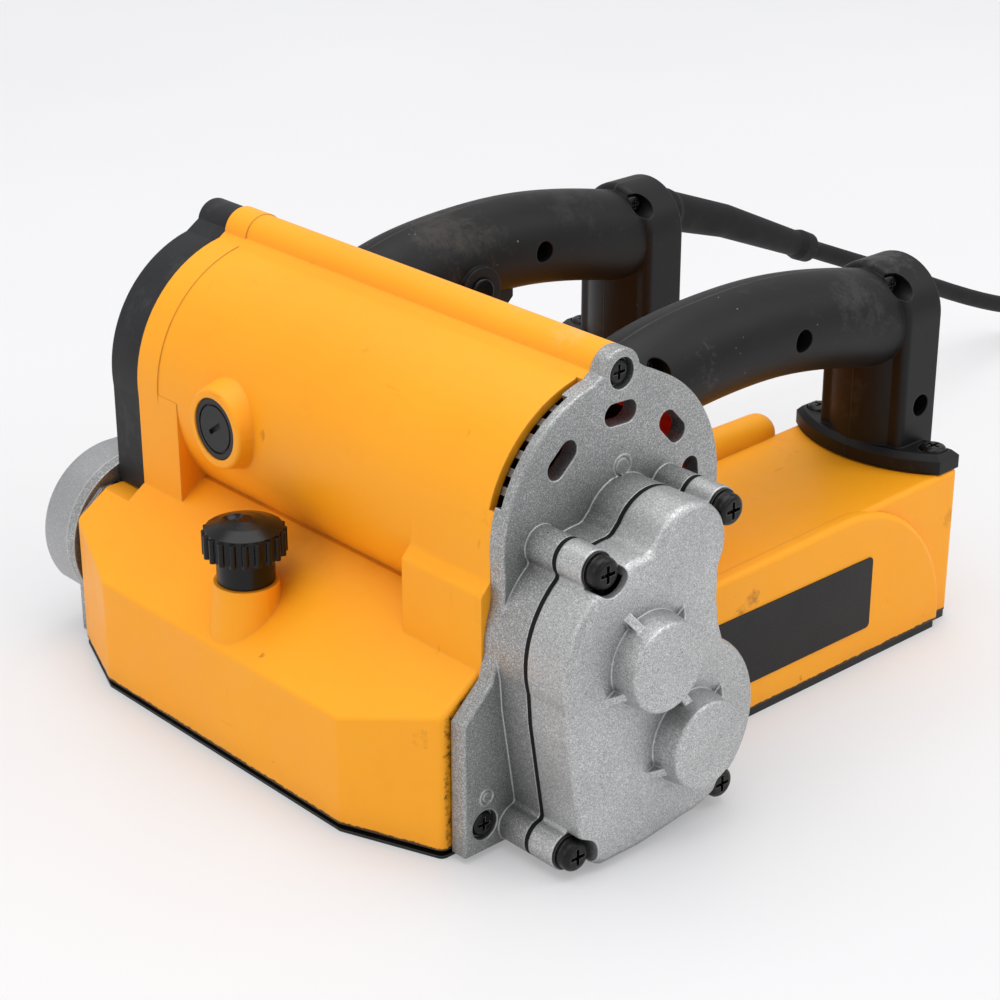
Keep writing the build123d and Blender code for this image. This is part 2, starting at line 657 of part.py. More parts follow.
# ---------------------------------------------------------------- end cap
def end_cap():
    section = barrel_section(-0.4) + polygon((-49.0, 50), (-49.0, 101), (-3, 101), (-3, 50))
    section += polygon((-3, 50), (-3, 101), (36, 78), (36, 50))
    section -= polygon((-90, CAP_FLOOR_Z), (90, CAP_FLOOR_Z), (90, 0), (-90, 0))
    inner = disc_at(43, MOTOR_Y, MOTOR_Z) + polygon((-46.5, 64), (-46.5, 101), (37, 101), (33, 64))
    inner -= polygon((-90, CAP_FLOOR_Z + 3), (90, CAP_FLOOR_Z + 3), (90, 0), (-90, 0))
    cap = slab_x(section, CAP_X0, BARREL_X0)
    cap = fillet(cap.faces().sort_by(Axis.X)[0].edges(), 1.2)
    cap -= slab_x(inner, CAP_X0 + 3, BARREL_X0 + 1)
    cap += rod_x(17, CAP_X0 + 1, -90)
    for angle in range(0, 360, 45):
        cap += Pos(CAP_X0 + 4, MOTOR_Y, MOTOR_Z) * Rot(angle + 22, 0, 0) * (Pos(0, 0, 26) * Box(4, 2.4, 24))
        slot = Pos(CAP_X0, MOTOR_Y, MOTOR_Z) * Rot(angle, 0, 0) * (Pos(0, 0, 28) * Box(10, 5, 16))
        cap -= slot
    cap -= rod_x(13, -98.5, -89) + rod_x(6, -100, -89)
    cap -= rod_x(2.4 + FIT, CAP_X0 - 1, -80, RIDGE_Y, RIDGE_Z) + rod_x(5.2, CAP_X0 - 1, -99, RIDGE_Y, RIDGE_Z)
    return cap.solids().sort_by(SortBy.VOLUME)[-1]


# ---------------------------------------------------------------- shoes and depth adjuster
def shoe_plan(inset):
    plan = offset(plan_outline(), -inset, kind=Kind.INTERSECTION)
    return fillet(plan.vertices(), 2.6)


def rear_shoe():
    """Fixed sole: rear plate flush with the body, two strips that run forward beside the cutter window."""
    keep = Rectangle(400, 220, align=(Align.CENTER, Align.MIN))
    plate = shoe_plan(0.3) & (Pos(0, 42) * keep)
    plate += shoe_plan(SHELL_T + 0.5) & (Pos(0, 38.5) * keep)
    plate += rect(-102.7, 102.7, 47, 171) + rect(-96.5, -84.5, -36.5, 39.5) + rect(-11, 96.5, -36.5, 39.5)
    shoe = extrude(plate, amount=SHOE_T - 0.05)
    for x, y in REAR_SHOE_SCREWS:
        shoe -= rod_z(2.4 + FIT, -1, 5, x, y) + Pos(x, y, 0) * Cone(4.9, 2.4, 2.4, align=FOOT_ALIGN)
    return shoe


def rear_shoe_screws():
    head = Cone(4.3, 2.3, 2.0, align=FOOT_ALIGN) - Box(5.0, 1.0, 2.0)
    screw = head + Pos(0, 0, 11) * Cylinder(2.4, 18)
    return group(*[Pos(x, y, 0.2) * screw for x, y in REAR_SHOE_SCREWS])


def front_shoe():
    """Adjustable front sole with its lifting stud and two guide pins."""
    keep = Rectangle(400, 100, align=(Align.CENTER, Align.MAX))
    shoe = extrude(shoe_plan(SHELL_T + 0.5) & (Pos(0, -40.5) * keep), amount=SHOE_T)
    shoe += extrude(shoe_plan(0.3) & (Pos(0, -40.5) * keep), amount=0.95)
    shoe += rod_z(10, SHOE_T, 9, 0, KNOB_Y)
    for x in SHOE_GUIDES:
        shoe += rod_z(3.5, SHOE_T - 1, 24, x, SHOE_GUIDE_Y)
    return shoe


def lifting_stud():
    stud = rod_z(4, 9, 58, 0, KNOB_Y)
    return chamfer(stud.edges().sort_by(Axis.Z)[-1], 0.8)


def shoe_springs():
    spring = coil_spring(4.9, 0.6, 7.2, 4)
    return group(*[Pos(x, SHOE_GUIDE_Y, 3.9) * spring for x in SHOE_GUIDES])


def depth_knob():
    """Fluted hand knob on a sleeve nut that turns in the deck boss."""
    flutes = 20
    skirt_z, rim_z, top_z = 71.6, 80.6, 83.6
    head = Pos(0, KNOB_Y, skirt_z) * extrude(Circle(13.0), amount=rim_z - skirt_z)
    dome = Pos(0, KNOB_Y, rim_z) * Cone(12.9, 8.0, 1.9, align=FOOT_ALIGN)
    dome += Pos(0, KNOB_Y, rim_z + 1.9) * Cone(8.0, 3.0, top_z - rim_z - 1.9, align=FOOT_ALIGN)
    head += dome
    for index in range(flutes):
        angle = 2 * pi * index / flutes
        rib = rod_z(1.15, skirt_z, rim_z - 0.8, 13.0 * cos(angle), KNOB_Y + 13.0 * sin(angle))
        head += rib
    head += rod_z(9.8, KNOB_SEAT_Z + 0.3, skirt_z + 1, 0, KNOB_Y)
    head += rod_z(6, 39, KNOB_SEAT_Z + 1, 0, KNOB_Y)
    head -= rod_z(4 + FIT, 38, 76, 0, KNOB_Y)
    head -= rod_z(7, 40.4, 41.8, 0, KNOB_Y) - rod_z(5.2, 40, 42, 0, KNOB_Y)
    head -= Pos(-4.6, KNOB_Y - 1.5, top_z + 2.0) * Sphere(4.2)
    return head


def knob_clip():
    clip = rod_z(8.4, 40.6, 41.6, 0, KNOB_Y) - rod_z(5.2 + FIT, 40, 42, 0, KNOB_Y)
    return clip - block(-2.6, 2.6, KNOB_Y - 10, KNOB_Y, 40, 42)


# ---------------------------------------------------------------- cutter spindle
def spindle():
    y, z = SPINDLE_Y, SPINDLE_Z
    shaft = rod_x(7.5, -107, 107, y, z) + rod_x(6, -116, -107, y, z)
    shaft += rod_x(8.6, 107, 117.6, y, z) + rod_x(7, 117, 129, y, z) + rod_x(5, 129, 137, y, z)
    shaft += rod_x(8.6, -95.4, -84.8, y, z) + rod_x(8.6, -10.8, 92, y, z)
    shaft += rod_x(13.5, -17.4, -14.6, y, z)
    return chamfer(shaft.edges().sort_by(Axis.X)[0], 0.8)


def cutter_positions():
    first = CHAMBER_X0 + 6
    pitch = (CHAMBER_X1 - 8 - first - CUTTER_T) / (CUTTER_COUNT - 1)
    return [first + pitch * index for index in range(CUTTER_COUNT)]


def cutter_discs():
    """Toothed discs: pockets ahead of square carbide teeth, each disc turned a little from the last."""
    teeth = 10
    discs = []
    for index, x in enumerate(cutter_positions()):
        sketch = Circle(CUTTER_R - 2.2) - Circle(7.5 + FIT)
        for tooth in range(teeth):
            angle = 360 / teeth * tooth + 6 * index
            sketch -= Rot(0, 0, angle + 12) * (Pos(CUTTER_R - 3.0, 0) * Circle(3.4))
            sketch += Rot(0, 0, angle) * (Pos(CUTTER_R - 3.7, 0) * Rectangle(7.2, 3.6))
        discs.append(slab_x(Pos(SPINDLE_Y, SPINDLE_Z) * (sketch & Circle(CUTTER_R)), x, x + CUTTER_T))
    return group(*discs)


def cutter_spacers():
    xs = cutter_positions()
    rings = [ring_x(13.5, 7.5 + FIT, a + CUTTER_T, b, SPINDLE_Y, SPINDLE_Z) for a, b in zip(xs, xs[1:])]
    rings.append(ring_x(13.5, 7.5 + FIT, xs[-1] + CUTTER_T, -17.4, SPINDLE_Y, SPINDLE_Z))
    return group(*rings)


def cutter_nut():
    return nut_x(22, 7.5 + FIT, CHAMBER_X0 + 0.6, cutter_positions()[0], SPINDLE_Y, SPINDLE_Z)


def spindle_nut():
    return nut_x(19, 6 + FIT, -114, -107.4, SPINDLE_Y, SPINDLE_Z)


# ---------------------------------------------------------------- shafts and bearings
def intermediate_shaft():
    shaft = rod_x(4, 100.2, 107.6, INTER_Y, INTER_Z) + rod_x(6, 107.6, 128.6, INTER_Y, INTER_Z)
    return shaft + rod_x(5, 128.6, 137, INTER_Y, INTER_Z)


def spindle_bearings():
    places = ((15, 35, 11, 96), (15, 35, 11, -107), (10, 26, 8, 129.3))
    return group(*[ball_bearing(*place, SPINDLE_Y, SPINDLE_Z) for place in places])


def intermediate_bearings():
    places = ((8, 22, 7, 100), (10, 26, 8, 129.3))
    return group(*[ball_bearing(*place, INTER_Y, INTER_Z) for place in places])


def motor_bearings():
    places = ((12, 28, 8, 90), (10, 26, 8, -98.4))
    return group(*[ball_bearing(*place, MOTOR_Y, MOTOR_Z) for place in places])


# ---------------------------------------------------------------- motor
def armature_shaft():
    shaft = rod_x(5, -98.2, -90) + rod_x(6, -90, 100) + rod_x(5, 100, 117.4)
    return chamfer(shaft.edges().sort_by(Axis.X)[-1], 0.6)


def armature_core():
    slots = 12
    sketch = Circle(24) - Circle(6 + FIT)
    for index in range(slots):
        angle = 360 / slots * index
        sketch -= Rot(0, 0, angle) * (Pos(18, 0) * SlotOverall(8.5, 5))
        sketch -= Rot(0, 0, angle) * (Pos(23, 0) * Rectangle(4, 1.6))
    return slab_x(Pos(MOTOR_Y, MOTOR_Z) * sketch, 0, 44)


def armature_windings():
    """Overhang of the windings at each end of the core, shaped as a ring of bundles."""
    ends = []
    for x0, x1 in ((-9, -0.2), (44.2, 53)):
        ring = ring_x(20, 6.4, x0, x1)
        for index in range(12):
            angle = 2 * pi * index / 12
            ring += rod_x(2.4, x0, x1, MOTOR_Y + 19.4 * cos(angle), MOTOR_Z + 19.4 * sin(angle))
        ends.append(ring)
    return group(*ends)


def commutator():
    bars = 24
    barrel = ring_x(14, 6 + FIT, -46, -14) + ring_x(16, 6 + FIT, -16.5, -12)
    for index in range(bars):
        cut = Pos(-31, 0, 14.4) * Box(33, 0.7, 1.8)
        barrel -= Pos(0, MOTOR_Y, MOTOR_Z) * Rot(360 / bars * index, 0, 0) * cut
    return barrel


def cooling_fan():
    blades = 14
    fan = ring_x(36, 6 + FIT, 76, 78) + ring_x(11, 6 + FIT, 76, 88)
    for index in range(blades):
        blade = Pos(82.5, 3, 23.5) * Rot(14, 0, 0) * Box(10, 1.8, 24)
        fan += Pos(0, MOTOR_Y, MOTOR_Z) * Rot(360 / blades * index, 0, 0) * blade
    return fan - rod_x(17.6, 87, 90) - rod_x(6 + FIT, 70, 92)


def stator_core():
    """Laminated field frame: round outside, two pole shoes round the armature."""
    outer = Circle(40.8)
    window = Circle(33) & Rectangle(44, 80)
    sketch = outer - Circle(25) - window
    return slab_x(Pos(MOTOR_Y, MOTOR_Z) * sketch, -2, 46)


def field_coils():
    """Two taped coils whose ends stand past the stator at both sides."""
    coils = []
    for side in (-1, 1):
        profile = (Circle(32.5) - Circle(26.2)) & (Pos(0, side * 25) * Rectangle(42, 34))
        coils.append(slab_x(Pos(MOTOR_Y, MOTOR_Z) * profile, -11, 56))
    return group(*coils)


def air_baffle():
    """Red insulating air guide that lines the barrel round the fan."""
    guide = ring_x(43.6, 41.2, 62, 95) + ring_x(43.6, 38.4, 62, 64.4)
    return guide - slab_x(Pos(MOTOR_Y, MOTOR_Z) * Pos(-35, 35) * Rectangle(40, 40), 86, 96)


def brush_parts():
    """Holder sleeves, carbon brushes, springs and screw caps, one set at the front and one at the rear."""
    holders = []
    brushes = []
    springs = []
    caps = []
    z = MOTOR_Z + 0.8
    for side in (-1, 1):
        turn = Pos(BRUSH_X, MOTOR_Y, z) * Rot(0, 0, 0 if side > 0 else 180) * Rot(-90, 0, 0)
        sleeve = Pos(0, 0, 36) * Box(11, 13, 40)
        sleeve += Pos(0, 0, 45.7) * Cylinder(11 - FIT, 8.4)
        sleeve -= Pos(0, 0, 34) * Box(7, 9, 60) + Pos(0, 0, 54) * Cylinder(8.6, 12)
        holders.append(turn * sleeve)
        brushes.append(turn * (Pos(0, 0, 22.5) * Box(6.8, 8.8, 16.4)))
        springs.append(turn * (Pos(0, 0, 31.4) * coil_spring(2.6, 0.4, 16, 8)))
        cap = Pos(0, 0, 50.8) * Cylinder(10.9, 1.6)
        cap = fillet(cap.edges().sort_by(Axis.Z)[-1], 0.5)
        cap += Pos(0, 0, 49.3) * Cylinder(8.5, 2.4)
        cap -= Pos(0, 0, 51.6) * (Cylinder(8.9, 1.6) - Cylinder(8.1, 1.6))
        cap -= Pos(0, 0, 51.4) * Rot(0, 0, 35) * Box(7.5, 1.8, 2.4)
        caps.append(turn * cap)
    return {"brush_holders": group(*holders), "carbon_brushes": group(*brushes),
            "brush_springs": group(*springs), "brush_caps": group(*caps)}


# ---------------------------------------------------------------- handles
GRIP_LINE = ((12, 100), (31, 113), (49, 119.6), (79, 123.6), (110, 123.6), (143, 118.9), (172, 112))
HANDLE_SCREWS = ((44.0, 128.5), (112.0, 123.0), (169.0, 128.0), (177.5, 82.0))


def grip_sweep(radius, x):
    path = Spline(*[(x, y, z) for y, z in GRIP_LINE])
    section = Plane(origin=path @ 0, z_dir=path % 0) * Ellipse(radius, radius)
    return sweep(section, path=path)


def foot_sketch(half_w, depth, x):
    """Flat at the rear, bowed towards the front."""
    side_y = REAR_Y - 11
    bow = ThreePointArc((x - half_w, side_y), (x, side_y - depth), (x + half_w, side_y))
    back = Polyline((x + half_w, side_y), (x + half_w, REAR_Y), (x - half_w, REAR_Y), (x - half_w, side_y))
    return make_face([bow, *back.edges()])


def handle_solid(x):
    """Grip, rear arch slab, bowed post and foot of one handle, still in one piece."""
    arch = Circle(POST_HALF_W) + rect(-POST_HALF_W, POST_HALF_W, FOOT_Z - POST_ARCH_Z, 0)
    wall = Plane(origin=(x, REAR_Y + 3.5, POST_ARCH_Z), x_dir=(1, 0, 0), z_dir=(0, -1, 0)) * arch
    slab = extrude(wall, amount=20)
    for end, radius in ((0, 3.0), (-1, 1.5)):
        rim = slab.faces().sort_by(Axis.Y)[end].edges()
        slab = fillet(rim.filter_by(lambda e: e.center().Z > 80), radius)
    solid = slab + grip_sweep(GRIP_R, x)
    solid += Pos(0, 0, FOOT_Z) * extrude(foot_sketch(POST_HALF_W - 0.6, 10.5, x), amount=56)
    foot = Pos(0, 0, FOOT_Z) * extrude(foot_sketch(34.6, 12.4, x), amount=7)
    foot = chamfer(foot.faces().sort_by(Axis.Z)[-1].edges(), 2.0)
    solid += foot
    solid -= rod_x(BARREL_R + 0.45, -110, 110)
    solid -= block(-110, 110, -60, 24, 60, 150)
    solid -= block(-110, 110, REAR_Y + 3.5, 260, 40, 150)
    return solid - block(-110, 110, 0, 186.5, 50, FOOT_Z + 0.05)


def handle_hollow(x):
    """Space inside a handle, with solid posts left round its screws."""
    inside = grip_sweep(GRIP_R - 3.2, x) & block(x - 30, x + 30, 34, 172, 60, 150)
    inside += block(x - 10, x + 10, 166, 182, FOOT_Z + 3, 118)
    for y, z in HANDLE_SCREWS:
        inside -= rod_x(5.2, x - 40, x + 40, y, z)
    return inside


def handle_halves(x, trigger_side=False):
    solid = handle_solid(x) - handle_hollow(x)
    for dx in FOOT_BOLT_OFFSETS:
        solid -= rod_z(2.9 + FIT, 50, 75, x + dx, FOOT_BOLT_Y)
        solid -= rod_z(5.3, FOOT_SEAT_Z, 75, x + dx, FOOT_BOLT_Y)
    for y, z in HANDLE_SCREWS:
        solid -= rod_x(4.2, x + 7, x + 40, y, z) + rod_x(1.9 + FIT, x - 10, x + 8, y, z)
    if trigger_side:
        solid += rod_x(9.5, x + 8, x + 20, LOCK_Y, LOCK_Z) - rod_x(5.6, x + 7, x + 21, LOCK_Y, LOCK_Z)
        solid -= rod_x(5.5 + FIT * 2, x + 7, x + 30, LOCK_Y, LOCK_Z)
        solid -= block(x - 7.4, x + 7.4, 56, 108.6, 90, 112)
        solid -= rod_x(2 + FIT, x - 12, x + 12, *TRIGGER_PIVOT)
        solid -= rod_y(6.5, 172, 200, x, CABLE_EXIT_Z) + rod_y(5.0, 160, 173, x, CABLE_EXIT_Z)
    left = solid & block(x - 60, x, -100, 300, 0, 300)
    right = solid & block(x, x + 60, -100, 300, 0, 300)
    return [half.solids().sort_by(SortBy.VOLUME)[-1] for half in (left, right)]


def handle_screws():
    screw = pan_screw(1.9, 14, 3.3, 2.2)
    places = [(side * HANDLE_X, y, z) for side in (-1, 1) for y, z in HANDLE_SCREWS]
    return group(*[along_x(screw, x + 7, y, z) for x, y, z in places])


def foot_bolts():
    bolt = pan_screw(2.9, 20, 5.0, 3.2)
    return group(*[Pos(x, FOOT_BOLT_Y, FOOT_SEAT_Z) * bolt for x in foot_bolt_places()])


# ---------------------------------------------------------------- trigger, switch and cable
TRIGGER_PIVOT = (60.0, 111.0)
LOCK_Y = 78.0
LOCK_Z = 115.6
CABLE_EXIT_Z = 120.0


def trigger():
    x = -HANDLE_X
    face = polygon((58, 108.5), (66, 99), (80, 95.5), (98, 96.5), (106, 104), (106, 110.5), (60, 113.2),
                   (57.4, 111.4))
    lever = slab_x(face, x - 6.6, x + 6.6)
    lever = fillet(lever.edges().filter_by(Axis.X).sort_by(Axis.Z)[:3], 3.0)
    return lever - rod_x(2 + FIT, x - 10, x + 10, *TRIGGER_PIVOT)


def trigger_pin():
    x = -HANDLE_X
    return rod_x(2, x - 11.5, x + 11.5, *TRIGGER_PIVOT)


def trigger_spring():
    return Pos(-HANDLE_X, 94, 112.6) * coil_spring(2.6, 0.4, 6.0, 4)


def switch_module():
    x = -HANDLE_X
    body = block(x - 6.5, x + 6.5, 70, 102, 119.6, 131)
    body = fillet(body.edges(), 0.8)
    for dx in (-3, 3):
        body += block(x + dx - 1.4, x + dx + 1.4, 101.5, 105, 122, 128)
    return body


def lock_button():
    x = -HANDLE_X
    button = rod_x(5.5, x + 10.6, x + 21.4, LOCK_Y, LOCK_Z)
    return fillet(button.edges().sort_by(Axis.X)[-1], 1.0)


def cable_path():
    x = -HANDLE_X
    points = ((120, 121), (150, CABLE_EXIT_Z), (190, CABLE_EXIT_Z - 1.5), (235, 104), (285, 82), (360, 50),
              (431, 20.5), (452, 14))
    return Spline(*[(x, y, z) for y, z in points])


def cable():
    path = cable_path()
    section = Plane(origin=path @ 0, z_dir=path % 0) * Circle(CABLE_R)
    return sweep(section, path=path)


BOOT_START = 0.185
BOOT_END = 0.49


def cable_boot():
    """Tapered bend relief with a flange against the handle and a collar at its free end."""
    path = cable_path()
    stations = ((0.0, 9.2), (0.1, 9.2), (0.13, 8.1), (0.45, 7.0), (0.9, 5.6), (0.94, 6.6), (1.0, 6.4))
    rings = []
    for share, radius in stations:
        at = BOOT_START + (BOOT_END - BOOT_START) * share
        rings.append(Plane(origin=path @ at, z_dir=path % at) * Circle(radius))
    boot = loft(rings, ruled=True)
    boot -= block(-HANDLE_X - 20, -HANDLE_X + 20, 150, REAR_Y + 3.55, 90, 150)
    section = Plane(origin=path @ 0, z_dir=path % 0) * Circle(CABLE_R + FIT)
    return boot - sweep(section, path=path)


def cable_clamp():
    x = -HANDLE_X
    return block(x - 12, x + 12, 165, 171, CABLE_EXIT_Z - 8.6, CABLE_EXIT_Z - 4.3)


# ---------------------------------------------------------------- rear details
def dust_port():
    """Hose spigot with a square flange on the rear wall."""
    flange = Pos(0, PORT_Z - 0.5) * RectangleRounded(38, 32, 4)
    port = extrude(Plane(origin=(0, REAR_Y, 0), x_dir=(1, 0, 0), z_dir=(0, -1, 0)) * flange, amount=-3)
    port += rod_y(PORT_R, REAR_Y + 2, REAR_Y + PORT_LENGTH, 0, PORT_Z)
    port -= rod_y(PORT_BORE_R, REAR_Y - 5, REAR_Y + 30, 0, PORT_Z)
    for x, z in PORT_SCREWS:
        port -= rod_y(1.7 + FIT, REAR_Y - 1, REAR_Y + 4, x, z)
    return port


def dust_port_screws():
    screw = pan_screw(1.7, 7.5, 2.9, 1.8)
    return group(*[Pos(x, REAR_Y + 3, z) * Rot(-90, 0, 0) * screw for x, z in PORT_SCREWS])


def label_panel():
    sketch = Pos(89, 28) * RectangleRounded(86, 28, 1.8)
    return slab_x(sketch, BODY_HALF_W + 3, BODY_HALF_W + 3.5)


# ---------------------------------------------------------------- all nodes
def all_parts():
    near_left, near_right = handle_halves(HANDLE_X)
    far_left, far_right = handle_halves(-HANDLE_X, trigger_side=True)
    parts = {
        "main_housing": main_housing(),
        "end_cap": end_cap(),
        "gear_housing": gear_housing(),
        "gear_gasket": gear_gasket(),
        "gear_cover": gear_cover(),
        "gear_case_screws": gear_case_screws(),
        "side_plate_screws": side_plate_screws(),
        "ear_screws": ear_screws(),
        "left_side_plate": left_side_plate(),
        "left_side_cover": left_side_cover(),
        "left_cover_screws": left_cover_screws(),
        "rear_shoe": rear_shoe(),
        "rear_shoe_screws": rear_shoe_screws(),
        "front_shoe": front_shoe(),
        "lifting_stud": lifting_stud(),
        "shoe_springs": shoe_springs(),
        "depth_knob": depth_knob(),
        "knob_clip": knob_clip(),
        "spindle": spindle(),
        "cutter_discs": cutter_discs(),
        "cutter_spacers": cutter_spacers(),
        "cutter_nut": cutter_nut(),
        "spindle_nut": spindle_nut(),
        "output_gear": output_gear(),
        "intermediate_shaft": intermediate_shaft(),
        "intermediate_gear": intermediate_gear(),
        "intermediate_pinion": intermediate_pinion(),
        "motor_pinion": motor_pinion(),
        "spindle_bearings": spindle_bearings(),
        "intermediate_bearings": intermediate_bearings(),
        "motor_bearings": motor_bearings(),
        "armature_shaft": armature_shaft(),
        "armature_core": armature_core(),
        "armature_windings": armature_windings(),
        "commutator": commutator(),
        "cooling_fan": cooling_fan(),
        "stator_core": stator_core(),
        "field_coils": field_coils(),
        "air_baffle": air_baffle(),
        "near_handle_left": near_left,
        "near_handle_right": near_right,
        "far_handle_left": far_left,
        "far_handle_right": far_right,
        "handle_screws": handle_screws(),
        "foot_bolts": foot_bolts(),
        "trigger": trigger(),
        "trigger_pin": trigger_pin(),
        "trigger_spring": trigger_spring(),
        "switch_module": switch_module(),
        "lock_button": lock_button(),
        "cable": cable(),
        "cable_boot": cable_boot(),
        "cable_clamp": cable_clamp(),
        "dust_port": dust_port(),
        "dust_port_screws": dust_port_screws(),
        "label_panel": label_panel(),
    }
    parts.update(brush_parts())
    return parts


os.makedirs("parts", exist_ok=True)
for node, shape in all_parts().items():
    export_step(shape, f"parts/{node}.step")
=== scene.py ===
"""Looks of the wall chaser: procedural materials on the CAD parts, spring copies that follow their bodies,
studio, camera.
"""
import math

import bmesh
import bpy
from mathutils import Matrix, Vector


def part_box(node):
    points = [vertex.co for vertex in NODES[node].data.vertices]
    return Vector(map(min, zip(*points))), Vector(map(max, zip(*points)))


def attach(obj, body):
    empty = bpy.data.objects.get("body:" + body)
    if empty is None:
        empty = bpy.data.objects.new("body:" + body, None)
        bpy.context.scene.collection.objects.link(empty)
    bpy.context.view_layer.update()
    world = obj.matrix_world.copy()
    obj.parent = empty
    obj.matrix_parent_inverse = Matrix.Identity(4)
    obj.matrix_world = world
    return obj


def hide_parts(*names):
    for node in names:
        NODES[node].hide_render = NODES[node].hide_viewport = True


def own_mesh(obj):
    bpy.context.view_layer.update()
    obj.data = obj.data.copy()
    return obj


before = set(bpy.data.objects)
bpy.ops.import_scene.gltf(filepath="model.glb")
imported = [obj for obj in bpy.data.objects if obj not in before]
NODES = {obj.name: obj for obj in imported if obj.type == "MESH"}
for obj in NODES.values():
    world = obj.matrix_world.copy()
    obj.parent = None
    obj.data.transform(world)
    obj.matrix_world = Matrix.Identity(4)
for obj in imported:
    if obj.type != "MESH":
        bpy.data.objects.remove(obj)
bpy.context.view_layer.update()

MM = 0.001
FLOOR_HALF = 6.0
LIGHT_TARGET = (0.0, 0.05, 0.08)
CAMERA_PLACE = (0.59116, -0.49176, 0.41698)
CAMERA_AZIMUTH = math.radians(47.70)
CAMERA_ELEVATION = math.radians(24.27)
CAMERA_LENS = 87.44


# ------------------------------------------------------------------ node helpers
class Look:
    """A material and short calls that add nodes to it."""

    def __init__(self, name):
        self.material = bpy.data.materials.new(name)
        self.material.use_nodes = True
        self.tree = self.material.node_tree
        self.tree.nodes.clear()
        self.bsdf = self.tree.nodes.new("ShaderNodeBsdfPrincipled")
        output = self.tree.nodes.new("ShaderNodeOutputMaterial")
        self.tree.links.new(self.bsdf.outputs[0], output.inputs[0])
        self.place = self.tree.nodes.new("ShaderNodeTexCoord").outputs["Object"]

    def put(self, socket, value):
        if isinstance(value, bpy.types.NodeSocket):
            self.tree.links.new(value, socket)
        else:
            socket.default_value = value

    def node(self, kind, inputs, **settings):
        made = self.tree.nodes.new(kind)
        for name, value in settings.items():
            setattr(made, name, value)
        for name, value in inputs.items():
            self.put(made.inputs[name], value)
        return made

    def stretch(self, x, y, z):
        return self.node("ShaderNodeMapping", {"Vector": self.place, "Scale": (x, y, z)}).outputs[0]

    def noise(self, scale, detail=3.0, rough=0.55, place=None, warp=0.0):
        inputs = {"Vector": place or self.place, "Scale": scale, "Detail": detail, "Roughness": rough,
                  "Distortion": warp}
        return self.node("ShaderNodeTexNoise", inputs).outputs["Fac"]

    def cells(self, scale):
        """Distance to the nearest of many scattered points."""
        return self.node("ShaderNodeTexVoronoi", {"Vector": self.place, "Scale": scale}).outputs["Distance"]

    def sparks(self, scale):
        """A random value for each small cell."""
        made = self.node("ShaderNodeTexVoronoi", {"Vector": self.place, "Scale": scale})
        return self.node("ShaderNodeSeparateXYZ", {0: made.outputs["Color"]}).outputs["X"]

    def ramp(self, value, low, high, start=0.0, end=1.0):
        inputs = {"Value": value, "From Min": low, "From Max": high, "To Min": start, "To Max": end}
        return self.node("ShaderNodeMapRange", inputs).outputs[0]

    def math(self, operation, a, b=0.0):
        return self.node("ShaderNodeMath", {0: a, 1: b}, operation=operation).outputs[0]

    def blend(self, share, a, b):
        """One colour where share is 0, the other where it is 1."""
        made = self.node("ShaderNodeMix", {0: share}, data_type="RGBA")
        self.put(made.inputs[6], a)
        self.put(made.inputs[7], b)
        return made.outputs[2]

    def edges(self, radius):
        """Rounded-edge normal, and 1 on sharp edges falling to 0 on open faces."""
        bevel = self.node("ShaderNodeBevel", {"Radius": radius}, samples=6).outputs[0]
        flat = self.node("ShaderNodeNewGeometry", {}).outputs["Normal"]
        turn = self.node("ShaderNodeVectorMath", {0: bevel, 1: flat}, operation="DOT_PRODUCT")
        return bevel, self.ramp(turn.outputs["Value"], 0.995, 0.88)

    def crevice(self, reach):
        """Ambient-occlusion mask used to paint shade: 1 in tight corners, 0 in the open."""
        shade = self.node("ShaderNodeAmbientOcclusion", {"Distance": reach}, samples=8).outputs["AO"]
        return self.ramp(shade, 0.8, 0.25)

    def spot(self, place, radius, ragged=0.5):
        """1 within a ragged patch round a point of the frame, in millimetres."""
        ends = {0: self.place, 1: [v * MM for v in place]}
        here = self.node("ShaderNodeVectorMath", ends, operation="DISTANCE")
        reach = self.math("MULTIPLY", here.outputs["Value"], 1 / (radius * MM))
        wobble = self.math("MULTIPLY", self.noise(1.6 / (radius * MM), 6, 0.8), 7 * ragged)
        return self.ramp(self.math("ADD", reach, wobble), 1.0 + 3.5 * ragged, 0.2 + 3.2 * ragged)

    def axis(self, letter):
        return self.node("ShaderNodeSeparateXYZ", {0: self.place}).outputs[letter]

    def seam(self, letter, value, width, ragged=0.5):
        """1 along a ragged line where a coordinate has the given value, both in millimetres."""
        gap = self.math("ABSOLUTE", self.math("SUBTRACT", self.axis(letter), value * MM))
        wobble = self.math("MULTIPLY", self.noise(420, 4, 0.7), 2 * ragged * width * MM)
        outer, inner = (1.0 + ragged) * width * MM, (0.6 + ragged) * width * MM
        return self.ramp(self.math("ADD", gap, wobble), outer, inner)

    def below(self, height):
        """1 under a height in millimetres, 0 above it."""
        return self.ramp(self.axis("Z"), (height + 1.0) * MM, height * MM)

    def speckle(self, scale, size, cover):
        """Small round specks, only inside some patches."""
        dots = self.ramp(self.cells(scale), size, size * 0.55)
        return self.math("MULTIPLY", dots, self.ramp(self.noise(30, 2), cover, cover + 0.07))

    def layer(self, share, amount, under, over):
        """Lays one colour over another where share is 1, at the given strength."""
        return self.blend(self.math("MULTIPLY", share, amount), under, over)

    def bump(self, height, distance, strength=1.0, normal=None):
        inputs = {"Height": height, "Distance": distance, "Strength": strength}
        if normal is not None:
            inputs["Normal"] = normal
        return self.node("ShaderNodeBump", inputs).outputs[0]

    def finish(self, **inputs):
        for name, value in inputs.items():
            self.put(self.bsdf.inputs[name.replace("_", " ")], value)
        return self.material


def rgb(red, green, blue):
    """sRGB 0-255 to a linear colour."""
    shares = [v / 255 for v in (red, green, blue)]
    linear = [((v + 0.055) / 1.055) ** 2.4 if v > 10 / 255 else v / 12.92 for v in shares]
    return (*linear, 1.0)


